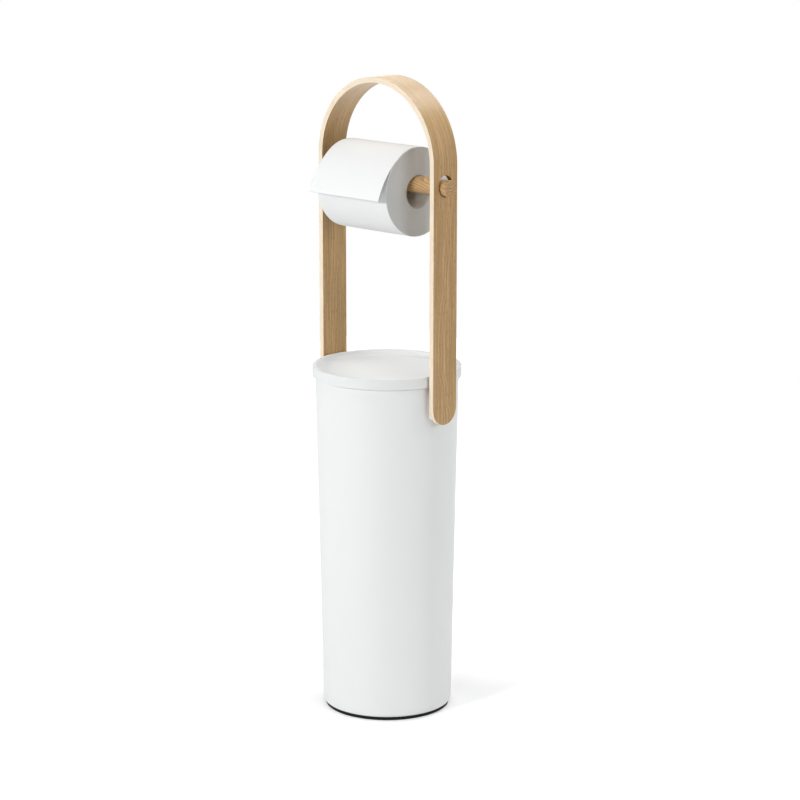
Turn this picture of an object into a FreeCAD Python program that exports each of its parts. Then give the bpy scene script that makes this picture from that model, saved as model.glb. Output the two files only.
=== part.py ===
import FreeCAD, Part

import math
import os

# Free-standing toilet paper stand: a tapered bin with a lift-off tray lid, a bent wooden handle screwed to the
# bin, and a dowel across the handle that carries the roll in use.
# Millimetres, +Z up. The origin is at the centre of the foot, on the floor. X runs from leg to leg, and the
# loose sheet hangs to the front, which is -Y.

# Bin and foot
BIN_HEIGHT = 363.35
BIN_FOOT_RADIUS = 70.0
BIN_WALL = 2.5
BIN_FOOT_ROUNDING = 3.0
BIN_RIM_ROUNDING = 1.2
FOOT_WALL = 6.0
FLOOR_THICKNESS = 2.5
FLOOR_ROUNDING = 3.0
PAD_THICKNESS = 3.65
PAD_INSET = 2.4
PAD_ROUNDING = 0.4

# Weight under the floor
BALLAST_THICKNESS = 7.0
BALLAST_CLEARANCE = 0.5
BALLAST_SCREW_COUNT = 3
BALLAST_SCREW_CIRCLE_RADIUS = 40.0
BALLAST_SCREW_FIRST_ANGLE = 30.0
FLOOR_BOSS_RADIUS = 5.0
FLOOR_BOSS_HEIGHT = 8.0
FLOOR_BOSS_ROOF = 1.0
BALLAST_SCREW_BITE = 6.0
BALLAST_SCREW_RECESS = 3.0

# Screws, all of one size
SCREW_RADIUS = 2.0
SCREW_HEAD_RADIUS = 3.8
SCREW_HEAD_HEIGHT = 2.4
SCREW_SOCKET_WIDTH = 3.0
SCREW_SOCKET_DEPTH = 1.5
SCREW_HOLE_CLEARANCE = 0.25
THREAD_CLEARANCE = 0.05
HEAD_CLEARANCE = 0.5

# Lid
LID_RADIUS = 80.0
LID_OVERHANG = 3.0
LID_HEIGHT = 11.8
LID_RIM_WIDTH = 4.0
LID_RIM_OUTER_ROUNDING = 1.0
LID_RIM_INNER_ROUNDING = 0.4
LID_LOWER_ROUNDING = 0.6
LID_RECESS_DEPTH = 6.37
LID_RECESS_ROUNDING = 4.5
LID_FLOOR_THICKNESS = 2.2
LID_SKIRT_DEPTH = 7.5
LID_SKIRT_THICKNESS = 2.0
LID_SKIRT_CLEARANCE = 0.5

# Bent handle
HANDLE_RISE = 319.25
STRAP_WIDTH = 34.72
STRAP_THICKNESS = 5.87
VENEER_THICKNESS = 0.6
STRAP_EDGE_ROUNDING = 0.3
LID_TO_LEG = 0.84

# Leg fixing
LEG_SCREW_PITCH = 15.0
LEG_SCREW_TO_END = 11.5
LEG_INSERT_RADIUS = 3.0
LEG_INSERT_COVER = 1.4
LEG_SCREW_TIP_GAP = 0.5
WASHER_RADIUS = 4.5
WASHER_THICKNESS = 0.8
WALL_BOSS_HALF_WIDTH = 7.5
WALL_BOSS_MARGIN = 5.3
WALL_BOSS_RELIEF = 0.8
SKIRT_TO_WALL_BOSS = 1.5
SADDLE_HALF_WIDTH = 12.0
SADDLE_MARGIN = 6.5
SADDLE_CORNER = 4.0
SADDLE_CLEARANCE = 0.1

# Dowel and its slots
DOWEL_RADIUS = 8.7
DOWEL_PROTRUSION = 6.75
DOWEL_CHAMFER = 0.5
DOWEL_DROP = 22.54
DOWEL_REST_ANGLE = 50.0
DOWEL_SEAT_GAP = 0.2
SLOT_CLEARANCE = 1.1
SLOT_RISE = 2.93

# Roll in use
CORE_BORE_RADIUS = 17.0
CORE_WALL = 0.9
CORE_GLUE_GAP = 0.05
ROLL_RADIUS = 47.15
ROLL_WIDTH = 104.15
ROLL_OFFSET = -5.95
HANG_CLEARANCE = 0.3
SHEET_THICKNESS = 0.3
SHEET_GAP = 0.1
SHEET_LEAVE_ANGLE = 128.5
SHEET_WRAP_ANGLE = 40.0
SHEET_CURL_RADIUS = 87.0
SHEET_FREE_LENGTH = 51.7

# Levels and radii that follow from the sizes above
bin_top = PAD_THICKNESS + BIN_HEIGHT
bin_top_radius = LID_RADIUS - LID_OVERHANG
pad_radius = BIN_FOOT_RADIUS - PAD_INSET
foot_hollow_radius = BIN_FOOT_RADIUS - FOOT_WALL
ballast_top = PAD_THICKNESS + BALLAST_THICKNESS
floor_underside = ballast_top + FLOOR_BOSS_HEIGHT
floor_top = floor_underside + FLOOR_THICKNESS
skirt_bottom = bin_top - LID_SKIRT_DEPTH
handle_inner = LID_RADIUS + LID_TO_LEG
handle_outer = handle_inner + STRAP_THICKNESS
arch_level = bin_top + HANDLE_RISE - handle_outer
upper_screw_level = skirt_bottom - SKIRT_TO_WALL_BOSS - WALL_BOSS_MARGIN
lower_screw_level = upper_screw_level - LEG_SCREW_PITCH
leg_end = lower_screw_level - LEG_SCREW_TO_END
insert_length = STRAP_THICKNESS - LEG_INSERT_COVER
dowel_level = arch_level - DOWEL_DROP
slot_radius = DOWEL_RADIUS + SLOT_CLEARANCE
dowel_lean = SLOT_CLEARANCE - DOWEL_SEAT_GAP
dowel_back = dowel_lean * math.sin(math.radians(DOWEL_REST_ANGLE))
slot_level = dowel_level + dowel_lean * math.cos(math.radians(DOWEL_REST_ANGLE))
roll_level = dowel_level + DOWEL_RADIUS + HANG_CLEARANCE - CORE_BORE_RADIUS
roll_left = ROLL_OFFSET - ROLL_WIDTH / 2
screw_hole_radius = SCREW_RADIUS + SCREW_HOLE_CLEARANCE
pilot_radius = SCREW_RADIUS + THREAD_CLEARANCE

ORIGIN = FreeCAD.Vector(0, 0, 0)
ALONG_X = FreeCAD.Vector(1, 0, 0)
ALONG_Y = FreeCAD.Vector(0, 1, 0)
ALONG_Z = FreeCAD.Vector(0, 0, 1)
LEG_SIDES = {"right": 1, "left": -1}
LEG_SCREW_LEVELS = (lower_screw_level, upper_screw_level)


def bin_radius(level):
    """Outside radius of the tapered bin at a height."""
    share = (level - PAD_THICKNESS) / BIN_HEIGHT
    return BIN_FOOT_RADIUS + (bin_top_radius - BIN_FOOT_RADIUS) * share


wall_boss_low = lower_screw_level - WALL_BOSS_MARGIN
wall_boss_high = upper_screw_level + WALL_BOSS_MARGIN
wall_boss_face = (
    math.sqrt((bin_radius(wall_boss_low) - BIN_WALL) ** 2 - WALL_BOSS_HALF_WIDTH ** 2) - WALL_BOSS_RELIEF
)


def outline(corners):
    """Closed XZ wire through (x, z, rounding) corners, each corner rounded by its own radius."""
    spots = [FreeCAD.Vector(x, 0, z) for x, z, _ in corners]
    edges = []
    arc_ends = []
    for index, (_, _, rounding) in enumerate(corners):
        here = spots[index]
        back = (spots[index - 1] - here).normalize()
        ahead = (spots[(index + 1) % len(spots)] - here).normalize()
        if rounding == 0:
            arc_ends.append((here, here))
            continue
        half_angle = back.getAngle(ahead) / 2
        reach = rounding / math.tan(half_angle)
        middle = here + (back + ahead).normalize() * (rounding / math.sin(half_angle) - rounding)
        arc_ends.append((here + back * reach, here + ahead * reach))
        edges.append(Part.Arc(arc_ends[-1][0], middle, arc_ends[-1][1]).toShape())
    for index, (_, arc_end) in enumerate(arc_ends):
        next_start = arc_ends[(index + 1) % len(arc_ends)][0]
        edges.append(Part.LineSegment(arc_end, next_start).toShape())
    return Part.Wire(Part.sortEdges(edges)[0])


def turned(corners):
    """Solid of revolution about the vertical axis."""
    return Part.Face(outline(corners)).revolve(ORIGIN, ALONG_Z, 360)


def rod(radius, length, start, direction):
    """Cylinder from a start point along a direction."""
    return Part.makeCylinder(radius, length, start, direction)


def slab(low, high):
    """Box between two opposite corners."""
    low = FreeCAD.Vector(*low)
    size = FreeCAD.Vector(*high) - low
    return Part.makeBox(size.x, size.y, size.z, low)


def socket_screw(shank_length):
    """Screw with its head's underside at the origin and its shank along +Z."""
    head = rod(SCREW_HEAD_RADIUS, SCREW_HEAD_HEIGHT, FreeCAD.Vector(0, 0, -SCREW_HEAD_HEIGHT), ALONG_Z)
    sides = 6
    corner_radius = SCREW_SOCKET_WIDTH / 2 / math.cos(math.pi / sides)
    corners = [
        FreeCAD.Vector(
            corner_radius * math.cos(2 * math.pi * step / sides),
            corner_radius * math.sin(2 * math.pi * step / sides),
            -SCREW_HEAD_HEIGHT,
        )
        for step in range(sides)
    ]
    corners.append(corners[0])
    socket = Part.Face(Part.makePolygon(corners)).extrude(ALONG_Z * SCREW_SOCKET_DEPTH)
    shank = rod(SCREW_RADIUS, shank_length, ORIGIN, ALONG_Z)
    return head.fuse(shank).removeSplitter().cut(socket)


def placed(shape, point, direction):
    """Copy of a shape made along +Z, moved to a point and turned to a direction."""
    copy = shape.copy()
    copy.Placement = FreeCAD.Placement(point, FreeCAD.Rotation(ALONG_Z, direction))
    return copy


def ballast_screw_spots(level):
    """Centres of the screws under the floor, at a height."""
    radius = BALLAST_SCREW_CIRCLE_RADIUS
    spots = []
    for step in range(BALLAST_SCREW_COUNT):
        turn = math.radians(BALLAST_SCREW_FIRST_ANGLE + 360 * step / BALLAST_SCREW_COUNT)
        spots.append(FreeCAD.Vector(radius * math.cos(turn), radius * math.sin(turn), level))
    return spots


def leg_screw_spots(distance):
    """Centre and outward direction of each leg screw, at a distance from the axis."""
    return [
        (FreeCAD.Vector(side * distance, 0, level), ALONG_X * side)
        for side in LEG_SIDES.values()
        for level in LEG_SCREW_LEVELS
    ]


def make_bin_body():
    """Tapered shell with a hollow foot, bosses for the weight and flat bosses inside for the legs."""
    shell = turned([
        (foot_hollow_radius, PAD_THICKNESS, 0),
        (BIN_FOOT_RADIUS, PAD_THICKNESS, BIN_FOOT_ROUNDING),
        (bin_top_radius, bin_top, BIN_RIM_ROUNDING),
        (bin_top_radius - BIN_WALL, bin_top, BIN_RIM_ROUNDING),
        (bin_radius(floor_top) - BIN_WALL, floor_top, FLOOR_ROUNDING),
        (0, floor_top, 0),
        (0, floor_underside, 0),
        (foot_hollow_radius, floor_underside, 0),
    ])
    for spot in ballast_screw_spots(ballast_top):
        shell = shell.fuse(rod(FLOOR_BOSS_RADIUS, FLOOR_BOSS_HEIGHT, spot, ALONG_Z))
    cone = Part.makeCone(
        BIN_FOOT_RADIUS, bin_top_radius, BIN_HEIGHT, FreeCAD.Vector(0, 0, PAD_THICKNESS), ALONG_Z
    )
    for side in LEG_SIDES.values():
        near, far = sorted((side * wall_boss_face, side * handle_inner))
        boss = slab((near, -WALL_BOSS_HALF_WIDTH, wall_boss_low), (far, WALL_BOSS_HALF_WIDTH, wall_boss_high))
        shell = shell.fuse(boss.common(cone))
    shell = shell.removeSplitter()
    for spot in ballast_screw_spots(ballast_top):
        shell = shell.cut(rod(pilot_radius, FLOOR_BOSS_HEIGHT - FLOOR_BOSS_ROOF, spot, ALONG_Z))
    for spot, outward in leg_screw_spots(wall_boss_face):
        shell = shell.cut(rod(screw_hole_radius, handle_inner - wall_boss_face, spot, outward))
    return shell


def make_base_pad():
    """Non-slip disc under the foot, the face that the stand rests on."""
    return turned([
        (0, 0, 0),
        (pad_radius, 0, PAD_ROUNDING),
        (pad_radius, PAD_THICKNESS, PAD_ROUNDING),
        (0, PAD_THICKNESS, 0),
    ])


def make_ballast_plate():
    """Round weight in the hollow foot, with sunk holes for its screws."""
    radius = foot_hollow_radius - BALLAST_CLEARANCE
    plate = rod(radius, BALLAST_THICKNESS, FreeCAD.Vector(0, 0, PAD_THICKNESS), ALONG_Z)
    for spot in ballast_screw_spots(PAD_THICKNESS):
        plate = plate.cut(rod(screw_hole_radius, BALLAST_THICKNESS, spot, ALONG_Z))
        plate = plate.cut(rod(SCREW_HEAD_RADIUS + HEAD_CLEARANCE, BALLAST_SCREW_RECESS, spot, ALONG_Z))
    return plate


def make_ballast_screws():
    """Screws that hold the weight up against the floor bosses."""
    screw = socket_screw(BALLAST_THICKNESS - BALLAST_SCREW_RECESS + BALLAST_SCREW_BITE)
    spots = ballast_screw_spots(PAD_THICKNESS + BALLAST_SCREW_RECESS)
    return Part.makeCompound([placed(screw, spot, ALONG_Z) for spot in spots])


def make_lid_tray():
    """Lift-off lid: a raised rim around a shallow recess, and a skirt that locates it in the bin."""
    lid_top = bin_top + LID_HEIGHT
    recess_floor = lid_top - LID_RECESS_DEPTH
    recess_radius = LID_RADIUS - LID_RIM_WIDTH
    skirt_radius = bin_radius(skirt_bottom) - BIN_WALL - LID_SKIRT_CLEARANCE
    skirt_inside = skirt_radius - LID_SKIRT_THICKNESS
    return turned([
        (0, recess_floor, 0),
        (recess_radius, recess_floor, LID_RECESS_ROUNDING),
        (recess_radius, lid_top, LID_RIM_INNER_ROUNDING),
        (LID_RADIUS, lid_top, LID_RIM_OUTER_ROUNDING),
        (LID_RADIUS, bin_top, LID_LOWER_ROUNDING),
        (skirt_radius, bin_top, 0),
        (skirt_radius, skirt_bottom, 0),
        (skirt_inside, skirt_bottom, 0),
        (skirt_inside, recess_floor - LID_FLOOR_THICKNESS, 0),
        (0, recess_floor - LID_FLOOR_THICKNESS, 0),
    ])


def arch_wire(radius):
    """Edges of one side of the bent strap: up a leg, over the arch and down the other leg."""
    left_foot = FreeCAD.Vector(-radius, 0, leg_end)
    left_spring = FreeCAD.Vector(-radius, 0, arch_level)
    crown = FreeCAD.Vector(0, 0, arch_level + radius)
    right_spring = FreeCAD.Vector(radius, 0, arch_level)
    right_foot = FreeCAD.Vector(radius, 0, leg_end)
    return [
        Part.LineSegment(left_foot, left_spring).toShape(),
        Part.Arc(left_spring, crown, right_spring).toShape(),
        Part.LineSegment(right_spring, right_foot).toShape(),
    ]


def dowel_slot():
    """Tall slot through both legs: the dowel rests in its lower end, against the back."""
    length = 2 * handle_outer
    low = FreeCAD.Vector(-handle_outer, 0, slot_level)
    high = low + ALONG_Z * SLOT_RISE
    middle = slab((-handle_outer, -slot_radius, low.z), (handle_outer, slot_radius, high.z))
    return rod(slot_radius, length, low, ALONG_X).fuse([rod(slot_radius, length, high, ALONG_X), middle])


def strap_layer(inner_radius, outer_radius):
    """One layer of the laminated strap, with round leg ends and the dowel slots."""
    inner = arch_wire(inner_radius)
    outer = arch_wire(outer_radius)
    feet = [
        Part.LineSegment(FreeCAD.Vector(side * inner_radius, 0, leg_end),
                         FreeCAD.Vector(side * outer_radius, 0, leg_end)).toShape()
        for side in LEG_SIDES.values()
    ]
    section = Part.Face(Part.Wire(Part.sortEdges(inner + outer + feet)[0]))
    section.translate(ALONG_Y * (-STRAP_WIDTH / 2))
    layer = section.extrude(ALONG_Y * STRAP_WIDTH)
    half_width = STRAP_WIDTH / 2
    corners = slab((-outer_radius, -half_width, leg_end), (outer_radius, half_width, leg_end + half_width))
    round_end = rod(half_width, 2 * outer_radius, FreeCAD.Vector(-outer_radius, 0, leg_end + half_width), ALONG_X)
    return layer.cut(corners.cut(round_end)).cut(dowel_slot())


def strap_radius(point):
    """Distance of a point from the middle of the handle: from the arch's centre, or from the axis lower down."""
    return math.hypot(point.x, max(point.z - arch_level, 0))


def with_soft_edges(layer, face_radius):
    """A strap layer with the sanded edges of one of its faces, slots included, rounded."""
    tolerance = 1e-4
    samples = 5
    borders = []
    for edge in layer.Edges:
        points = edge.discretize(samples)
        on_face = all(abs(strap_radius(point) - face_radius) < tolerance for point in points)
        spring_line = all(abs(point.z - arch_level) < tolerance for point in points)
        if on_face and not spring_line:
            borders.append(edge)
    return layer.makeFillet(STRAP_EDGE_ROUNDING, borders)


def with_insert_holes(layer):
    """A strap layer with the blind holes for the threaded inserts."""
    for spot, outward in leg_screw_spots(handle_inner):
        layer = layer.cut(rod(LEG_INSERT_RADIUS + THREAD_CLEARANCE, insert_length, spot, outward))
    return layer


def make_handle_core():
    """Pale inner plies of the strap, which show along its edges."""
    core = strap_layer(handle_inner + VENEER_THICKNESS, handle_outer - VENEER_THICKNESS)
    return with_insert_holes(core)


def make_handle_outer_veneer():
    """Face veneer on the outside of the strap."""
    veneer = strap_layer(handle_outer - VENEER_THICKNESS, handle_outer)
    return with_soft_edges(veneer, handle_outer)


def make_handle_inner_veneer():
    """Face veneer on the inside of the strap."""
    veneer = strap_layer(handle_inner, handle_inner + VENEER_THICKNESS)
    return with_insert_holes(with_soft_edges(veneer, handle_inner))


def make_saddle(side):
    """Spacer that fits the round bin on one face and the flat leg on the other."""
    low = lower_screw_level - SADDLE_MARGIN
    high = upper_screw_level + SADDLE_MARGIN
    edge = outline([
        (-SADDLE_HALF_WIDTH, low, SADDLE_CORNER),
        (SADDLE_HALF_WIDTH, low, SADDLE_CORNER),
        (SADDLE_HALF_WIDTH, high, SADDLE_CORNER),
        (-SADDLE_HALF_WIDTH, high, SADDLE_CORNER),
    ])
    block = Part.Face(edge).extrude(ALONG_Y * handle_inner)
    block.rotate(ORIGIN, ALONG_Z, -90 * side)
    cone = Part.makeCone(
        BIN_FOOT_RADIUS + SADDLE_CLEARANCE, bin_top_radius + SADDLE_CLEARANCE, BIN_HEIGHT,
        FreeCAD.Vector(0, 0, PAD_THICKNESS), ALONG_Z,
    )
    saddle = block.cut(cone)
    for spot, outward in leg_screw_spots(wall_boss_face):
        saddle = saddle.cut(rod(screw_hole_radius, handle_outer - wall_boss_face, spot, outward))
    return saddle


def make_handle_screws():
    """Screws from inside the bin, through the wall and saddle into the leg inserts."""
    head_seat = wall_boss_face - WASHER_THICKNESS
    tip = handle_inner + insert_length - LEG_SCREW_TIP_GAP
    screw = socket_screw(tip - head_seat)
    return Part.makeCompound([placed(screw, spot, outward) for spot, outward in leg_screw_spots(head_seat)])


def make_handle_washers():
    """Flat washers under the heads of the leg screws."""
    start = ALONG_Z * -WASHER_THICKNESS
    washer = rod(WASHER_RADIUS, WASHER_THICKNESS, start, ALONG_Z)
    washer = washer.cut(rod(screw_hole_radius, WASHER_THICKNESS, start, ALONG_Z))
    return Part.makeCompound([placed(washer, spot, outward) for spot, outward in leg_screw_spots(wall_boss_face)])


def make_handle_inserts():
    """Threaded inserts set into the inner face of the legs."""
    insert = rod(LEG_INSERT_RADIUS, insert_length, ORIGIN, ALONG_Z)
    insert = insert.cut(rod(pilot_radius, insert_length, ORIGIN, ALONG_Z))
    return Part.makeCompound([placed(insert, spot, outward) for spot, outward in leg_screw_spots(handle_inner)])


def make_dowel():
    """Round rod across the handle, chamfered at both ends."""
    half_length = handle_outer + DOWEL_PROTRUSION
    dowel = turned([
        (0, -half_length, 0),
        (DOWEL_RADIUS - DOWEL_CHAMFER, -half_length, 0),
        (DOWEL_RADIUS, DOWEL_CHAMFER - half_length, 0),
        (DOWEL_RADIUS, half_length - DOWEL_CHAMFER, 0),
        (DOWEL_RADIUS - DOWEL_CHAMFER, half_length, 0),
        (0, half_length, 0),
    ])
    return placed(dowel, FreeCAD.Vector(0, dowel_back, dowel_level), ALONG_X)


def tube_on_roll_axis(inner_radius, outer_radius):
    """Tube as wide as the roll, about the roll's own axis."""
    start = FreeCAD.Vector(roll_left, dowel_back, roll_level)
    tube = rod(outer_radius, ROLL_WIDTH, start, ALONG_X)
    return tube.cut(rod(inner_radius, ROLL_WIDTH, start, ALONG_X))


def make_roll_core():
    """Cardboard tube that hangs on the dowel."""
    return tube_on_roll_axis(CORE_BORE_RADIUS, CORE_BORE_RADIUS + CORE_WALL)


def make_paper_roll():
    """Wound paper on the cardboard tube."""
    return tube_on_roll_axis(CORE_BORE_RADIUS + CORE_WALL + CORE_GLUE_GAP, ROLL_RADIUS)


def make_loose_sheet():
    """Free end of the paper: it lies on the roll, leaves it at a tangent and curls down to the front."""
    lie_radius = ROLL_RADIUS + SHEET_GAP
    leave = math.radians(SHEET_LEAVE_ANGLE)
    wrap_start = leave - math.radians(SHEET_WRAP_ANGLE)
    free_end = leave + SHEET_FREE_LENGTH / SHEET_CURL_RADIUS
    roll_centre = FreeCAD.Vector(roll_left, dowel_back, roll_level)
    leave_direction = FreeCAD.Vector(0, math.cos(leave), math.sin(leave))
    curl_centre = roll_centre + leave_direction * (lie_radius - SHEET_CURL_RADIUS)

    def arc(centre, radius, start, end):
        spots = [
            centre + FreeCAD.Vector(0, math.cos(angle), math.sin(angle)) * radius
            for angle in (start, (start + end) / 2, end)
        ]
        return Part.Arc(*spots).toShape()

    under = [
        arc(roll_centre, lie_radius, wrap_start, leave),
        arc(curl_centre, SHEET_CURL_RADIUS, leave, free_end),
    ]
    over = [
        arc(roll_centre, lie_radius + SHEET_THICKNESS, wrap_start, leave),
        arc(curl_centre, SHEET_CURL_RADIUS + SHEET_THICKNESS, leave, free_end),
    ]
    edges = [
        Part.LineSegment(under[0].Vertexes[0].Point, over[0].Vertexes[0].Point).toShape(),
        Part.LineSegment(under[1].Vertexes[-1].Point, over[1].Vertexes[-1].Point).toShape(),
    ]
    section = Part.Face(Part.Wire(Part.sortEdges(under + over + edges)[0]))
    return section.extrude(ALONG_X * ROLL_WIDTH)


NODES = {
    "bin_body": make_bin_body(),
    "base_pad": make_base_pad(),
    "ballast_plate": make_ballast_plate(),
    "ballast_screws": make_ballast_screws(),
    "lid_tray": make_lid_tray(),
    "handle_core": make_handle_core(),
    "handle_outer_veneer": make_handle_outer_veneer(),
    "handle_inner_veneer": make_handle_inner_veneer(),
    "saddle_right": make_saddle(LEG_SIDES["right"]),
    "saddle_left": make_saddle(LEG_SIDES["left"]),
    "handle_screws": make_handle_screws(),
    "handle_washers": make_handle_washers(),
    "handle_inserts": make_handle_inserts(),
    "dowel": make_dowel(),
    "roll_core": make_roll_core(),
    "paper_roll": make_paper_roll(),
    "loose_sheet": make_loose_sheet(),
}

os.makedirs("parts", exist_ok=True)
for node, shape in NODES.items():
    box = shape.BoundBox
    print(
        f"{node}: {len(shape.Solids)} solid(s), valid {shape.isValid()}, {shape.Volume:.0f} mm3,"
        f" x {box.XMin:.2f} to {box.XMax:.2f}, y {box.YMin:.2f} to {box.YMax:.2f},"
        f" z {box.ZMin:.2f} to {box.ZMax:.2f}"
    )
    shape.exportStep(f"parts/{node}.step")
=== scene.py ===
import math

import bmesh
import bpy
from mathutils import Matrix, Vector, noise


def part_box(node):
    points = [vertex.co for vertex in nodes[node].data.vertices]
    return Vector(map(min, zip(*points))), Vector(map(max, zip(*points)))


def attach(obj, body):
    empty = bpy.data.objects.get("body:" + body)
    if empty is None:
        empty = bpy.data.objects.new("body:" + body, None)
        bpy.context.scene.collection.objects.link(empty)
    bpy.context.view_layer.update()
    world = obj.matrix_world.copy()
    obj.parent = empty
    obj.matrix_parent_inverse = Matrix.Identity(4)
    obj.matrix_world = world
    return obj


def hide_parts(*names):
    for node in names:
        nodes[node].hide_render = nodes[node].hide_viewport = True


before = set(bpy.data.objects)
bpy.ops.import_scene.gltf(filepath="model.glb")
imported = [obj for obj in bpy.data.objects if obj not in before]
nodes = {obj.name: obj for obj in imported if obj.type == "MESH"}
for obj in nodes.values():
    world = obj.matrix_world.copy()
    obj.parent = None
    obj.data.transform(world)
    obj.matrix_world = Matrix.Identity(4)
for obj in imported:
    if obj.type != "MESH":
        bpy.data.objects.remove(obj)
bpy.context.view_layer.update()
FULL_TURN = 2.0 * math.pi

# Places and sizes read from the frame, in metres
_, strap_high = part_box("handle_outer_veneer")
HANDLE_OUTER = strap_high.x
ARCH_LEVEL = strap_high.z - HANDLE_OUTER
_, plies_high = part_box("handle_core")
_, inner_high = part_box("handle_inner_veneer")
PLIES_THICKNESS = plies_high.x - inner_high.x
roll_low, roll_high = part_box("paper_roll")
ROLL_RADIUS = (roll_high.y - roll_low.y) / 2
ROLL_CENTRE = (roll_low + roll_high) / 2
ROLL_WIDTH = roll_high.x - roll_low.x
tube_low, tube_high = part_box("roll_core")
CORE_RADIUS = (tube_high.y - tube_low.y) / 2
dowel_low, dowel_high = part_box("dowel")
DOWEL_LEVEL = (dowel_low.z + dowel_high.z) / 2
DOWEL_RADIUS = (dowel_high.z - dowel_low.z) / 2

# The loose sheet, as it leaves the roll
SHEET_THICKNESS = 0.0003
SHEET_GAP = 0.0001
SHEET_LEAVE_ANGLE = math.radians(128.5)
SHEET_WRAP_ANGLE = math.radians(40.0)
SHEET_CURL_RADIUS = 0.087
SHEET_FREE_LENGTH = 0.0517
SHEET_LIE_RADIUS = ROLL_RADIUS + SHEET_GAP + SHEET_THICKNESS / 2
SHEET_WRAP_LENGTH = SHEET_LIE_RADIUS * SHEET_WRAP_ANGLE
SHEET_LENGTH = SHEET_WRAP_LENGTH + SHEET_FREE_LENGTH

# Camera at the photograph's viewing point
CAMERA_AZIMUTH = math.radians(45.613)
CAMERA_DISTANCE = 2.6898
CAMERA_HEIGHT = 0.9523
CAMERA_PITCH = math.radians(12.845)
CAMERA_YAW = math.radians(-0.298)
CAMERA_LENS = 115.48
CAMERA_SENSOR = 36.0

# Soft boxes, all at one distance from one point on the stand's axis
LAMP_TARGET = Vector((0.0, 0.0, 0.5))
LAMP_DISTANCE = 2.6
WIDE_BOX = 1.2
NARROW_BOX = 0.35

# Colours of the face veneer
BAND_DARK = (0.432, 0.263, 0.103)
BAND_PALE = (0.528, 0.336, 0.15)
STREAK_BROWN = (0.35, 0.203, 0.076)
LINE_PALE = (0.74, 0.505, 0.245)
LINE_DARK = (0.29, 0.162, 0.058)
DRIFT_BROWN = (0.39, 0.236, 0.103)
FLAME_PALE = (0.76, 0.53, 0.26)
PORE_DARK = (0.22, 0.118, 0.034)
# Painted light: paler colour laid over the bent arch of the strap
BEND_PAINTED_LIGHT = (0.84, 0.56, 0.265)

# Colours of the pale plies
PLY_DARK = (0.83, 0.695, 0.525)
PLY_PALE = (0.90, 0.785, 0.63)
GLUE_BROWN = (0.60, 0.45, 0.29)
# Dark brown laid on the walls of the dowel slots
SLOT_WALL_BROWN = (0.17, 0.095, 0.042)

# Colours of the dowel
EARLY_WOOD_DARK = (0.60, 0.375, 0.168)
EARLY_WOOD_PALE = (0.72, 0.475, 0.232)
END_GRAIN_BROWN = (0.50, 0.305, 0.155)
LATE_WOOD_DARK = (0.24, 0.115, 0.04)
DOWEL_PORE_DARK = (0.27, 0.145, 0.06)

# Range that holds most values of a noise texture
NOISE_LOW = 0.3
NOISE_HIGH = 0.7


# Node helpers

def new_material(name):
    """Empty node material with one Principled shader."""
    material = bpy.data.materials.new(name)
    material.use_nodes = True
    tree = material.node_tree
    tree.nodes.clear()
    output = tree.nodes.new("ShaderNodeOutputMaterial")
    shader = tree.nodes.new("ShaderNodeBsdfPrincipled")
    tree.links.new(shader.outputs["BSDF"], output.inputs["Surface"])
    return material, tree, shader


def set_or_link(tree, socket, value):
    """Links another node's output to a socket, or sets a plain value on it."""
    if isinstance(value, bpy.types.NodeSocket):
        tree.links.new(value, socket)
    else:
        socket.default_value = value


def add(tree, kind, inputs, **settings):
    """New node with settings, and inputs that are plain values or other nodes' outputs."""
    node = tree.nodes.new(kind)
    for name, value in settings.items():
        setattr(node, name, value)
    for name, value in inputs.items():
        set_or_link(tree, node.inputs[name], value)
    return node


def connect(tree, shader, **sockets):
    """Links outputs to the shader's inputs, or sets plain values on them."""
    for name, value in sockets.items():
        set_or_link(tree, shader.inputs[name.replace("_", " ")], value)


def calc(tree, operation, *values):
    """Output of a Math node."""
    return add(tree, "ShaderNodeMath", dict(enumerate(values)), operation=operation).outputs[0]


def hypotenuse(tree, first, second):
    """Distance made up of two parts at right angles."""
    squares = [calc(tree, "POWER", part, 2.0) for part in (first, second)]
    return calc(tree, "SQRT", calc(tree, "ADD", *squares))


def own_vector(tree, kind):
    """x, y and z of a surface point ("Object") or of its normal ("Normal") in the object's own frame."""
    coordinates = add(tree, "ShaderNodeTexCoord", {})
    split = add(tree, "ShaderNodeSeparateXYZ", {"Vector": coordinates.outputs[kind]})
    return split.outputs["X"], split.outputs["Y"], split.outputs["Z"]


def own_position(tree):
    """x, y and z of a surface point in its object's own frame."""
    return own_vector(tree, "Object")


def vector_of(tree, x, y, z):
    """Vector output from three numbers or outputs."""
    return add(tree, "ShaderNodeCombineXYZ", {"X": x, "Y": y, "Z": z}).outputs["Vector"]


def noise_of(tree, vector, scale=1.0, detail=3.0, roughness=0.5, distortion=0.0):
    """Noise value of a vector; scale is in changes per metre."""
    inputs = {
        "Vector": vector, "Scale": scale, "Detail": detail, "Roughness": roughness, "Distortion": distortion
    }
    return add(tree, "ShaderNodeTexNoise", inputs).outputs["Fac"]


def stretched_noise(tree, place, paces, **settings):
    """Noise whose pace, in changes per metre, differs between the three directions of a place."""
    spot = [calc(tree, "MULTIPLY", value, pace) for value, pace in zip(place, paces)]
    return noise_of(tree, vector_of(tree, *spot), **settings)


def between(tree, value, low, high, low_out=0.0, high_out=1.0):
    """Value mapped from one range to another, and held at its ends."""
    inputs = {
        "Value": value, "From Min": low, "From Max": high, "To Min": low_out, "To Max": high_out
    }
    return add(tree, "ShaderNodeMapRange", inputs).outputs["Result"]


def rising(tree, value, start, full, strength=1.0):
    """0 up to a start, and a strength from where the value is full."""
    return between(tree, value, start, full, 0.0, strength)


def falling(tree, value, full, end, strength=1.0):
    """A strength up to where the value is full, and 0 from its end."""
    return between(tree, value, full, end, strength, 0.0)


def spread(tree, value, low_out=0.0, high_out=1.0):
    """Noise spread over a range."""
    return between(tree, value, NOISE_LOW, NOISE_HIGH, low_out, high_out)


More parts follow.
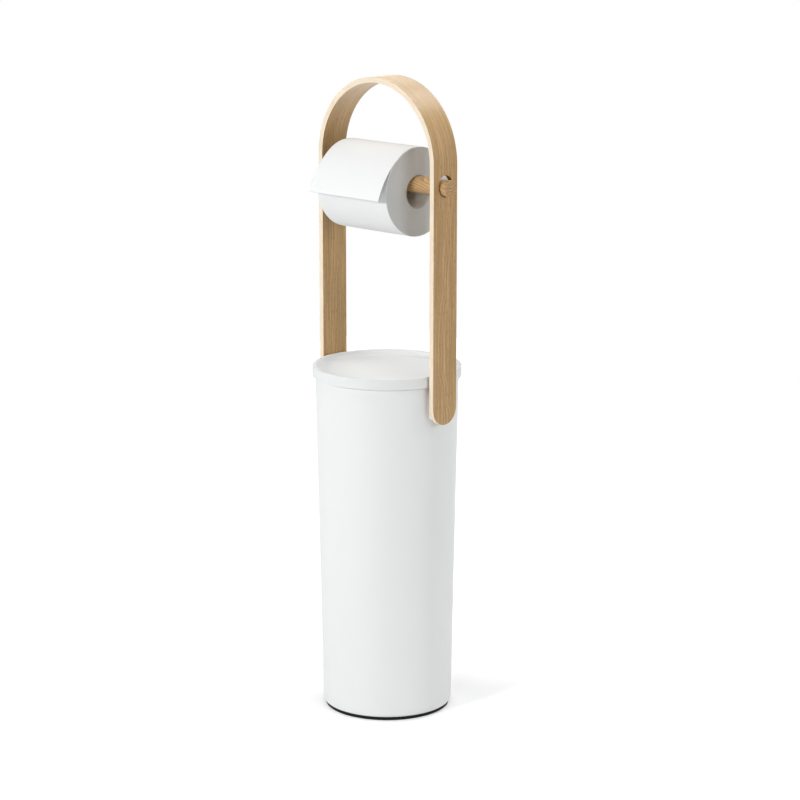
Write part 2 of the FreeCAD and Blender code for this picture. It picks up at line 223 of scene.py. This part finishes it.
def end_face_share(tree):
    """1 on faces square to x, such as the ends of a rod, and 0 on its side."""
    side_slope = 0.6
    end_slope = 0.9
    normal_x, _, _ = own_vector(tree, "Normal")
    return rising(tree, calc(tree, "ABSOLUTE", normal_x), side_slope, end_slope)


def mix_colour(tree, share, first, second):
    """Colour between two colours or outputs."""
    node = add(tree, "ShaderNodeMix", {0: share}, data_type="RGBA")
    for index, colour in ((6, first), (7, second)):
        is_output = isinstance(colour, bpy.types.NodeSocket)
        set_or_link(tree, node.inputs[index], colour if is_output else (*colour, 1.0))
    return node.outputs[2]


def painted(tree, colour, *coats):
    """Colour with coats, each a share and its own colour, laid over it one after another."""
    for share, coat_colour in coats:
        colour = mix_colour(tree, share, colour, coat_colour)
    return colour


def bump_of(tree, height, depth, strength):
    """Normal output from a height, with its depth in metres."""
    inputs = {"Height": height, "Distance": depth, "Strength": strength}
    return add(tree, "ShaderNodeBump", inputs).outputs["Normal"]


# Materials of bin, lid and pad

def white_plastic(name, shade):
    """Satin moulded plastic with a very fine surface texture; shade is how light its batch is."""
    material, tree, shader = new_material(name)
    position = vector_of(tree, *own_position(tree))
    clouds = noise_of(tree, position, scale=9.0, detail=2.0)
    patches = noise_of(tree, position, scale=60.0)
    texture = noise_of(tree, position, scale=1600.0, detail=1.0)
    duller = [shade * share for share in (0.975, 0.992, 0.994)]
    lighter = [shade * share for share in (1.0, 1.017, 1.018)]
    colour = mix_colour(tree, clouds, duller, lighter)
    roughness = spread(tree, patches, 0.52, 0.6)
    normal = bump_of(tree, texture, depth=0.00003, strength=0.35)
    connect(tree, shader, Base_Color=colour, Roughness=roughness, Normal=normal, Specular_IOR_Level=0.15)
    return material


def black_rubber():
    """Matt non-slip rubber with a fine grain."""
    material, tree, shader = new_material("black_rubber")
    position = vector_of(tree, *own_position(tree))
    grain = noise_of(tree, position, scale=900.0, detail=4.0)
    colour = mix_colour(tree, grain, (0.008, 0.0095, 0.0095), (0.0165, 0.0182, 0.0178))
    roughness = spread(tree, grain, 0.7, 0.88)
    normal = bump_of(tree, grain, depth=0.00015, strength=0.5)
    connect(tree, shader, Base_Color=colour, Roughness=roughness, Normal=normal, Specular_IOR_Level=0.14)
    return material


# Materials of the bent strap

def arch_place(tree):
    """x, height above the arch's centre (0 on the legs) and distance from it."""
    x, _, z = own_position(tree)
    above = calc(tree, "MAXIMUM", calc(tree, "SUBTRACT", z, ARCH_LEVEL), 0.0)
    return x, above, hypotenuse(tree, x, above)


def strap_position(tree):
    """Place on the strap: length from its crown, place across it and distance from the arch's centre."""
    x, above, radius = arch_place(tree)
    _, y, z = own_position(tree)
    below = calc(tree, "MAXIMUM", calc(tree, "SUBTRACT", ARCH_LEVEL, z), 0.0)
    on_arch = calc(tree, "MULTIPLY", calc(tree, "ARCTAN2", x, above), HANDLE_OUTER)
    on_leg = calc(tree, "MULTIPLY", calc(tree, "SIGN", x), below)
    return calc(tree, "ADD", on_arch, on_leg), y, radius


def strap_face_share(tree):
    """1 on the strap's broad faces and 0 on its cut edges."""
    edge_slope = 0.6
    face_slope = 0.8
    x, above, radius = arch_place(tree)
    normal_x, _, normal_z = own_vector(tree, "Normal")
    sideways = calc(tree, "MULTIPLY", normal_x, x)
    upward = calc(tree, "MULTIPLY", normal_z, above)
    outward = calc(tree, "DIVIDE", calc(tree, "ADD", sideways, upward), radius)
    return rising(tree, calc(tree, "ABSOLUTE", outward), edge_slope, face_slope)


def slot_share(tree):
    """1 on the walls of the dowel slots, where only cut edges show."""
    slot_margin = 0.002
    _, y, z = own_position(tree)
    beside = calc(tree, "LESS_THAN", calc(tree, "ABSOLUTE", y), DOWEL_RADIUS + slot_margin)
    rise = calc(tree, "SUBTRACT", z, DOWEL_LEVEL)
    near = calc(tree, "LESS_THAN", calc(tree, "ABSOLUTE", rise), 2.0 * DOWEL_RADIUS)
    return calc(tree, "MULTIPLY", beside, near)


def ply_edge(tree, along, across, radius):
    """Colour and fibres of the plies cut on edge: faint glue lines, and dark brown walls in the slots."""
    ply_count = 5
    glue_strength = 0.08
    fibres = stretched_noise(tree, (along, across, radius), (60.0, 400.0, 450.0), detail=1.0)
    layer_turn = calc(tree, "MULTIPLY", radius, FULL_TURN * ply_count / PLIES_THICKNESS)
    glue_lines = rising(tree, calc(tree, "COSINE", layer_turn), 0.9, 1.0, glue_strength)
    colour = mix_colour(tree, spread(tree, fibres), PLY_DARK, PLY_PALE)
    colour = painted(tree, colour, (glue_lines, GLUE_BROWN), (slot_share(tree), SLOT_WALL_BROWN))
    return colour, fibres


def flame_figure(tree, along, across, layer):
    """Share of a few pale lines that wander together along the middle of the strap."""
    line_pitch = 0.0042
    wander_reach = 0.011
    strength = 0.34
    wander = stretched_noise(tree, (along, 0.0, layer), (8.0, 1.0, 1.0))
    place = calc(tree, "ADD", across, between(tree, wander, 0.2, 0.8, -wander_reach, wander_reach))
    ripple = calc(tree, "COSINE", calc(tree, "MULTIPLY", place, FULL_TURN / line_pitch))
    middle = falling(tree, calc(tree, "ABSOLUTE", place), 0.004, 0.009)
    return calc(tree, "MULTIPLY", rising(tree, ripple, 0.45, 1.0, strength), middle)


def veneer_grain(tree, along, across, seed):
    """Colour of the veneer on its face, and the fine lines and pores that its relief follows."""
    def grain(along_pace, across_pace, layer, **settings):
        place = (along, across, seed + layer)
        return stretched_noise(tree, place, (along_pace, across_pace, 1.0), **settings)

    bands = grain(4.0, 150.0, 0.0, detail=2.0, distortion=0.5)
    streaks = grain(10.0, 380.0, 3.0, detail=2.0)
    lines = grain(16.0, 800.0, 5.0, detail=2.0)
    pores = rising(tree, grain(150.0, 1000.0, 9.0, detail=1.0), 0.6, 0.68)
    drift = grain(22.0, 60.0, 13.0, detail=2.0)
    colour = painted(
        tree, mix_colour(tree, between(tree, bands, 0.35, 0.65), BAND_DARK, BAND_PALE),
        (rising(tree, streaks, 0.46, 0.60, strength=0.35), STREAK_BROWN),
        (rising(tree, lines, 0.52, 0.66, strength=0.5), LINE_PALE),
        (falling(tree, lines, 0.34, 0.45, strength=0.36), LINE_DARK),
        (rising(tree, drift, 0.4, 0.62, strength=0.3), DRIFT_BROWN),
        (flame_figure(tree, along, across, seed + 21.0), FLAME_PALE),
        (calc(tree, "MULTIPLY", pores, 0.5), PORE_DARK),
    )
    return colour, lines, pores


def face_veneer(name, seed, painted_light_share):
    """Straight-grained veneer with pale plies on its cut edges, painted paler over the arch as painted
    light on the bend.
    """
    material, tree, shader = new_material(name)
    along, across, radius = strap_position(tree)
    colour, lines, pores = veneer_grain(tree, along, across, seed)
    bend_end = 1.55 * HANDLE_OUTER
    # Painted light: the arch is painted paler, fading out towards the legs
    bend = falling(tree, calc(tree, "ABSOLUTE", along), HANDLE_OUTER, bend_end, painted_light_share)
    colour = mix_colour(tree, bend, colour, BEND_PAINTED_LIGHT)
    edge_colour, _ = ply_edge(tree, along, across, radius)
    colour = mix_colour(tree, strap_face_share(tree), edge_colour, colour)
    height = calc(tree, "SUBTRACT", calc(tree, "MULTIPLY", lines, 0.4), pores)
    roughness = spread(tree, lines, 0.34, 0.46)
    normal = bump_of(tree, height, depth=0.00005, strength=0.6)
    connect(
        tree, shader, Base_Color=colour, Roughness=roughness, Normal=normal,
        IOR=1.5, Specular_IOR_Level=0.1, Coat_Weight=0.6, Coat_Roughness=0.38,
        Sheen_Weight=0.35, Sheen_Roughness=0.4, Sheen_Tint=(1.0, 0.84, 0.6, 1.0),
    )
    return material


def pale_ply():
    """Pale inner plies of the strap."""
    material, tree, shader = new_material("pale_ply")
    colour, fibres = ply_edge(tree, *strap_position(tree))
    normal = bump_of(tree, fibres, depth=0.00005, strength=0.5)
    connect(tree, shader, Base_Color=colour, Roughness=0.62, Normal=normal)
    return material


# Materials of dowel, tube, paper and hardware

def late_wood_share(tree, x, y, z):
    """Share of dark late wood: growth rings about a pith beside the rod, slightly sloped and wandering."""
    pith_y = 0.022
    pith_z = DOWEL_LEVEL - 0.045
    grain_slope = 0.24
    ring_pitch = 0.0027
    wander_reach = 0.008
    ring_sharpness = 2.2
    from_pith_y = calc(tree, "SUBTRACT", y, pith_y)
    slope_rise = calc(tree, "MULTIPLY", x, grain_slope)
    from_pith_z = calc(tree, "ADD", calc(tree, "SUBTRACT", z, pith_z), slope_rise)
    wander = stretched_noise(tree, (x, y, z), (22.0, 130.0, 130.0))
    shift = calc(tree, "MULTIPLY", wander, wander_reach)
    distance = calc(tree, "ADD", hypotenuse(tree, from_pith_y, from_pith_z), shift)
    ring_share = calc(tree, "FRACT", calc(tree, "DIVIDE", distance, ring_pitch))
    return calc(tree, "POWER", ring_share, ring_sharpness)


def dowel_wood():
    """Solid turned wood: growth rings that show as lines along the rod and as arcs on its ends."""
    material, tree, shader = new_material("dowel_wood")
    x, y, z = own_position(tree)
    late_wood = late_wood_share(tree, x, y, z)
    fibres = stretched_noise(tree, (x, y, z), (45.0, 1400.0, 1400.0))
    pores = rising(tree, fibres, 0.58, 0.7)
    end_grain = end_face_share(tree)
    late_strength = between(tree, end_grain, 0.0, 1.0, 0.72, 0.85)
    colour = painted(
        tree, mix_colour(tree, between(tree, fibres, 0.3, 0.6), EARLY_WOOD_DARK, EARLY_WOOD_PALE),
        (calc(tree, "MULTIPLY", end_grain, 0.8), END_GRAIN_BROWN),
        (calc(tree, "MULTIPLY", late_wood, late_strength), LATE_WOOD_DARK),
        (calc(tree, "MULTIPLY", pores, 0.35), DOWEL_PORE_DARK),
    )
    normal = bump_of(tree, calc(tree, "ADD", late_wood, pores), depth=-0.00005, strength=0.6)
    connect(tree, shader, Base_Color=colour, Roughness=0.5, Normal=normal, IOR=1.5)
    return material


def tissue(name, light, dark):
    """Soft matt paper with a fine fibre texture."""
    material, tree, shader = new_material(name)
    position = vector_of(tree, *own_position(tree))
    fibres = noise_of(tree, position, scale=1400.0, detail=4.0, roughness=0.65)
    crepe = noise_of(tree, position, scale=320.0, detail=2.0)
    height = calc(tree, "ADD", calc(tree, "MULTIPLY", fibres, 0.5), crepe)
    colour = mix_colour(tree, crepe, dark, light)
    normal = bump_of(tree, height, depth=0.00012, strength=0.6)
    connect(tree, shader, Base_Color=colour, Roughness=0.95, Normal=normal, Specular_IOR_Level=0.2)
    return material


def roll_place(tree):
    """x, y and z of a surface point, and its y and z from the roll's axis."""
    x, y, z = own_position(tree)
    side = calc(tree, "SUBTRACT", y, ROLL_CENTRE.y)
    rise = calc(tree, "SUBTRACT", z, ROLL_CENTRE.z)
    return (x, y, z), side, rise


def roll_end_paper():
    """Cut edges of the wound layers: greyer than the sheet, in fine rings."""
    material, tree, shader = new_material("roll_end_paper")
    (x, y, z), side, rise = roll_place(tree)
    radius = hypotenuse(tree, side, rise)
    layers = stretched_noise(tree, (radius, y, x), (5200.0, 30.0, 1.0), detail=2.0)
    fibres = noise_of(tree, vector_of(tree, x, y, z), scale=1500.0)
    colour = mix_colour(tree, spread(tree, layers), (0.62, 0.642, 0.644), (0.72, 0.742, 0.743))
    height = calc(tree, "ADD", layers, calc(tree, "MULTIPLY", fibres, 0.6))
    normal = bump_of(tree, height, depth=0.0002, strength=0.7)
    connect(tree, shader, Base_Color=colour, Roughness=0.95, Normal=normal, Specular_IOR_Level=0.15)
    return material


def core_board():
    """Pale board of the roll's tube: a spiral strip with a visible joint, and grey on its cut ends."""
    strip_width = 0.062
    joint_share = 0.012
    material, tree, shader = new_material("core_board")
    (x, y, z), side, rise = roll_place(tree)
    turn_share = calc(tree, "DIVIDE", calc(tree, "ARCTAN2", side, rise), FULL_TURN)
    wound = calc(tree, "ADD", calc(tree, "DIVIDE", x, strip_width), turn_share)
    joint = falling(tree, calc(tree, "PINGPONG", wound, 0.5), 0.0, joint_share)
    fibres = noise_of(tree, vector_of(tree, x, y, z), scale=700.0, detail=4.0, roughness=0.6)
    colour = painted(
        tree, mix_colour(tree, fibres, (0.90, 0.91, 0.89), (0.94, 0.95, 0.93)),
        (calc(tree, "MULTIPLY", joint, 0.5), (0.30, 0.275, 0.235)),
        (end_face_share(tree), (0.47, 0.475, 0.45)),
    )
    normal = bump_of(tree, calc(tree, "SUBTRACT", fibres, joint), depth=0.0001, strength=0.5)
    connect(tree, shader, Base_Color=colour, Roughness=0.9, Normal=normal)
    return material


def metal(name, dark, light, roughness):
    """Plain metal with fine turning marks."""
    material, tree, shader = new_material(name)
    marks = stretched_noise(tree, own_position(tree), (1.0, 1.0, 6.0), scale=900.0)
    colour = mix_colour(tree, marks, dark, light)
    uneven_roughness = spread(tree, marks, roughness - 0.06, roughness + 0.08)
    normal = bump_of(tree, marks, depth=0.00004, strength=0.4)
    connect(tree, shader, Base_Color=colour, Roughness=uneven_roughness, Normal=normal, Metallic=1.0)
    return material


def dress(material, *names):
    """Gives CAD nodes one material."""
    for name in names:
        mesh = nodes[name].data
        mesh.materials.clear()
        mesh.materials.append(material)


# Wound paper and its loose sheet

def new_piece(name, mesh_builder, *materials):
    """Object in the scene from a finished mesh builder, with its materials, shaded smooth."""
    bmesh.ops.recalc_face_normals(mesh_builder, faces=mesh_builder.faces)
    mesh = bpy.data.meshes.new(name)
    mesh_builder.to_mesh(mesh)
    mesh_builder.free()
    for material in materials:
        mesh.materials.append(material)
    for polygon in mesh.polygons:
        polygon.use_smooth = True
    piece = bpy.data.objects.new(name, mesh)
    bpy.context.scene.collection.objects.link(piece)
    return piece


def winding_depth(radius, turn):
    """How far a cut layer stands back from the roll's end, at a radius and an angle along the spiral."""
    ridge_pitch = 0.0012
    deepest = 0.00022
    mean_share = 0.55
    uneven_share = 0.45
    uneven_pace = 1.7
    place = (radius - CORE_RADIUS) / ridge_pitch - turn / FULL_TURN
    layer = math.floor(place)
    wound = layer + turn / FULL_TURN
    ridge = math.sin(math.pi * (place - layer)) ** 2
    unevenness = noise.noise(Vector((wound * uneven_pace, 0.0, 3.0)))
    return deepest * ridge * (mean_share + uneven_share * unevenness)


def side_dent(x, turn):
    """How far the roll's side lies from its full radius, at a place along it and an angle."""
    depth = 0.00012
    inward_shift = 0.6
    along_pace = 40.0
    around_pace = 2.0
    place = Vector((x * along_pace, math.cos(turn) * around_pace, math.sin(turn) * around_pace))
    return depth * (noise.noise(place) - inward_shift)


def roll_end_profile():
    """One end of the wound paper as (inset from the end, radius, kind), from the bore to the side."""
    rings = 96
    edge = 0.0007
    edge_steps = 5
    bore_gap = 0.00005
    bore = CORE_RADIUS + bore_gap
    face = [
        (0.0, bore + (ROLL_RADIUS - edge - bore) * step / rings, "end") for step in range(rings + 1)
    ]
    corner = []
    for step in range(1, edge_steps + 1):
        bend = math.pi / 2 * step / edge_steps
        corner.append((edge * (1 - math.cos(bend)), ROLL_RADIUS - edge * (1 - math.sin(bend)), "side"))
    return face + corner


def roll_profile():
    """Outline of the wound paper as (distance from its left end, radius, kind)."""
    side_steps = 40
    left = roll_end_profile()
    inset = left[-1][0]
    side = [
        (inset + (ROLL_WIDTH - 2 * inset) * step / side_steps, ROLL_RADIUS, "side")
        for step in range(1, side_steps)
    ]
    right = [(ROLL_WIDTH - inset_x, radius, kind) for inset_x, radius, kind in reversed(left)]
    return left + side + right


def roll_spot(distance, radius, kind, turn):
    """Point on the wound paper for a place on its outline and an angle."""
    x = distance - ROLL_WIDTH / 2
    if kind == "end":
        x -= math.copysign(winding_depth(radius, turn), x)
    else:
        radius += side_dent(x, turn)
    return ROLL_CENTRE + Vector((x, radius * math.cos(turn), radius * math.sin(turn)))


def make_paper_roll(shaded_side_paper, end_paper):
    """Wound paper: spiral ridges on its ends, soft edges and a slightly uneven side."""
    segments = 144
    profile = roll_profile()
    mesh_builder = bmesh.new()
    grid = []
    for segment in range(segments):
        turn = FULL_TURN * segment / segments
        grid.append([mesh_builder.verts.new(roll_spot(*place, turn)) for place in profile])
    for segment in range(segments):
        here = grid[segment]
        there = grid[(segment + 1) % segments]
        for step in range(len(profile)):
            following = (step + 1) % len(profile)
            face = mesh_builder.faces.new((here[step], here[following], there[following], there[step]))
            on_end = profile[step][2] == "end" and profile[following][2] == "end"
            face.material_index = 1 if on_end else 0
    return new_piece("wound_paper", mesh_builder, shaded_side_paper, end_paper)


def outward_at(turn):
    """Direction away from the roll's axis at an angle."""
    return Vector((0.0, math.cos(turn), math.sin(turn)))


def sheet_spot(length, across):
    """Point and outward direction on the sheet's middle, at a length along it and a place across it."""
    sunk_radius = ROLL_RADIUS - SHEET_THICKNESS / 2
    settle_share = 0.4
    ripple_height = 0.0005
    across_pace = 34.0
    along_pace = 26.0
    if length <= SHEET_WRAP_LENGTH:
        settle = min(1.0, length / (settle_share * SHEET_WRAP_LENGTH))
        outward = outward_at(SHEET_LEAVE_ANGLE - SHEET_WRAP_ANGLE + length / SHEET_LIE_RADIUS)
        return outward * (sunk_radius + (SHEET_LIE_RADIUS - sunk_radius) * settle), outward
    free = length - SHEET_WRAP_LENGTH
    curl_centre = outward_at(SHEET_LEAVE_ANGLE) * (SHEET_LIE_RADIUS - SHEET_CURL_RADIUS)
    outward = outward_at(SHEET_LEAVE_ANGLE + free / SHEET_CURL_RADIUS)
    looseness = (free / SHEET_FREE_LENGTH) ** 2
    ripple_place = Vector((across * across_pace, free * along_pace, 1.0))
    ripple = ripple_height * looseness * noise.noise(ripple_place)
    return curl_centre + outward * (SHEET_CURL_RADIUS + ripple), outward


def sheet_layer(mesh_builder, columns, rows, side):
    """Grid of points on the sheet's under side (-1) or outer side (1), with a torn last row."""
    tear_depth = 0.0002
    tear_pace = 900.0
    tear_fade = 8
    layer = []
    for column in range(columns + 1):
        across = ROLL_WIDTH * (column / columns - 0.5)
        tear = tear_depth * (noise.noise(Vector((across * tear_pace, 7.0, 0.0))) - 1.0)
        line = []
        for row in range(rows + 1):
            share = row / rows
            spot, outward = sheet_spot(SHEET_LENGTH * share + tear * share ** tear_fade, across)
            shift = Vector((across, 0.0, 0.0)) + outward * (side * SHEET_THICKNESS / 2)
            line.append(mesh_builder.verts.new(ROLL_CENTRE + spot + shift))
        layer.append(line)
    return layer


def make_loose_sheet(paper):
    """Free end of the paper: merges into the roll at its top and ends in a torn row of perforations."""
    columns = 208
    rows = 64
    mesh_builder = bmesh.new()
    under, over = (sheet_layer(mesh_builder, columns, rows, side) for side in (-1.0, 1.0))
    for column in range(columns):
        for row in range(rows):
            for layer in (under, over):
                here = layer[column]
                there = layer[column + 1]
                mesh_builder.faces.new((here[row], there[row], there[row + 1], here[row + 1]))
        for row in (0, rows):
            mesh_builder.faces.new((
                under[column][row], under[column + 1][row], over[column + 1][row], over[column][row]
            ))
    for row in range(rows):
        for column in (0, columns):
            mesh_builder.faces.new((
                under[column][row], under[column][row + 1], over[column][row + 1], over[column][row]
            ))
    sheet = new_piece("loose_paper", mesh_builder, paper)
    return sheet


# Stage

def camera_rays(tree):
    """1 for rays that show the background itself: seen, mirrored or through glass."""
    light_path = add(tree, "ShaderNodeLightPath", {})
    seen = calc(
        tree, "MAXIMUM", light_path.outputs["Is Camera Ray"], light_path.outputs["Is Glossy Ray"]
    )
    return calc(tree, "MAXIMUM", seen, light_path.outputs["Is Transmission Ray"])


def make_floor():
    """Pale floor that keeps the object's shadow near the stand and runs out to plain white."""
    floor_size = 3.0
    floor_drop = 0.0002
    near, near_lift = 0.1, 0.28
    far, far_lift = 0.4, 0.75
    bpy.ops.mesh.primitive_plane_add(size=floor_size, location=(0.0, 0.0, -floor_drop))
    floor = bpy.context.object
    floor.name = "floor"
    material = bpy.data.materials.new("pale_floor")
    material.use_nodes = True
    tree = material.node_tree
    tree.nodes.clear()
    output = tree.nodes.new("ShaderNodeOutputMaterial")
    matt = add(tree, "ShaderNodeBsdfDiffuse", {"Color": (0.85, 0.85, 0.85, 1.0)})
    x, y, _ = own_position(tree)
    distance_lift = between(tree, hypotenuse(tree, x, y), near, far, near_lift, far_lift)
    lift = calc(tree, "MULTIPLY", camera_rays(tree), distance_lift)
    glow = add(tree, "ShaderNodeEmission", {"Color": (1.0, 1.0, 1.0, 1.0), "Strength": lift})
    both = add(tree, "ShaderNodeAddShader", {0: matt.outputs[0], 1: glow.outputs[0]})
    tree.links.new(both.outputs[0], output.inputs["Surface"])
    floor.data.materials.append(material)


def make_world():
    """Dim, even surroundings that are seen as plain white."""
    ambient = 0.1
    seen_white = 1.0
    world = bpy.data.worlds.new("studio")
    bpy.context.scene.world = world
    world.use_nodes = True
    tree = world.node_tree
    tree.nodes.clear()
    output = tree.nodes.new("ShaderNodeOutputWorld")
    strength = between(tree, camera_rays(tree), 0.0, 1.0, ambient, seen_white)
    background = add(tree, "ShaderNodeBackground", {"Color": (1.0, 1.0, 1.0, 1.0), "Strength": strength})
    tree.links.new(background.outputs[0], output.inputs["Surface"])


def make_lamp(name, azimuth, elevation, power, size=WIDE_BOX, highlight=True):
    """Square soft box that faces the stand, from an azimuth about +X and an elevation in degrees.

    Without highlight it lights surfaces and isn't mirrored in them.
    """
    turn = math.radians(azimuth)
    rise = math.radians(elevation)
    outward = Vector((math.cos(rise) * math.cos(turn), math.cos(rise) * math.sin(turn), math.sin(rise)))
    lamp = bpy.data.lights.new(name, "AREA")
    lamp.shape = "SQUARE"
    lamp.size = size
    lamp.energy = power
    holder = bpy.data.objects.new(name, lamp)
    holder.location = LAMP_TARGET + outward * LAMP_DISTANCE
    holder.visible_glossy = highlight
    holder.rotation_euler = (-outward).to_track_quat("-Z", "Y").to_euler()
    bpy.context.scene.collection.objects.link(holder)


def make_camera():
    """Camera at the photograph's viewing point."""
    camera = bpy.data.cameras.new("camera")
    camera.lens = CAMERA_LENS
    camera.sensor_width = CAMERA_SENSOR
    holder = bpy.data.objects.new("camera", camera)
    holder.location = (
        CAMERA_DISTANCE * math.sin(CAMERA_AZIMUTH),
        -CAMERA_DISTANCE * math.cos(CAMERA_AZIMUTH),
        CAMERA_HEIGHT,
    )
    holder.rotation_euler = (math.pi / 2 - CAMERA_PITCH, 0.0, CAMERA_AZIMUTH + CAMERA_YAW)
    bpy.context.scene.collection.objects.link(holder)
    bpy.context.scene.camera = holder


# Dressing the frame
dress(white_plastic("bin_plastic", shade=0.85), "bin_body", "saddle_right", "saddle_left")
dress(white_plastic("lid_plastic", shade=0.815), "lid_tray")
dress(black_rubber(), "base_pad")
dress(pale_ply(), "handle_core")
dress(face_veneer("outer_veneer", seed=0.0, painted_light_share=0.28), "handle_outer_veneer")
dress(face_veneer("inner_veneer", seed=31.0, painted_light_share=0.12), "handle_inner_veneer")
dress(dowel_wood(), "dowel")
dress(core_board(), "roll_core")
dress(
    metal("ballast_steel", dark=(0.30, 0.30, 0.31), light=(0.40, 0.40, 0.41), roughness=0.5),
    "ballast_plate",
)
dress(
    metal("screw_steel", dark=(0.55, 0.55, 0.56), light=(0.66, 0.66, 0.67), roughness=0.3),
    "ballast_screws", "handle_screws", "handle_washers",
)
dress(
    metal("insert_brass", dark=(0.66, 0.47, 0.20), light=(0.78, 0.58, 0.28), roughness=0.3),
    "handle_inserts",
)

sheet_paper = tissue("sheet_paper", light=(0.90, 0.913, 0.911), dark=(0.87, 0.883, 0.881))
# Painted shade: the roll's side is the sheet's tissue, painted darker
shaded_side_paper = tissue("shaded_side_paper", light=(0.842, 0.853, 0.853), dark=(0.816, 0.826, 0.827))
wound_paper = make_paper_roll(shaded_side_paper, roll_end_paper())
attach(wound_paper, "roll")
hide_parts("paper_roll")
loose_paper = make_loose_sheet(sheet_paper)
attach(loose_paper, "roll")
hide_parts("loose_sheet")

# Stage, light and camera
make_floor()
make_world()
make_lamp("key", azimuth=-90.0, elevation=15.0, power=29.8, size=NARROW_BOX, highlight=False)
make_lamp("front_right", azimuth=-60.0, elevation=15.0, power=6.2, size=NARROW_BOX, highlight=False)
make_lamp("left", azimuth=-130.0, elevation=15.0, power=10.5)
make_lamp("left_high", azimuth=-135.0, elevation=60.0, power=16.9)
make_lamp("right", azimuth=0.0, elevation=10.0, power=11.8)
make_lamp("right_high", azimuth=0.0, elevation=55.0, power=7.2)
make_lamp("back_right", azimuth=45.0, elevation=20.0, power=14.5, highlight=False)
make_lamp("back", azimuth=90.0, elevation=50.0, power=21.8)
make_lamp("back_left", azimuth=135.0, elevation=40.0, power=6.8)
make_camera()
bpy.context.scene.view_settings.view_transform = "Standard"
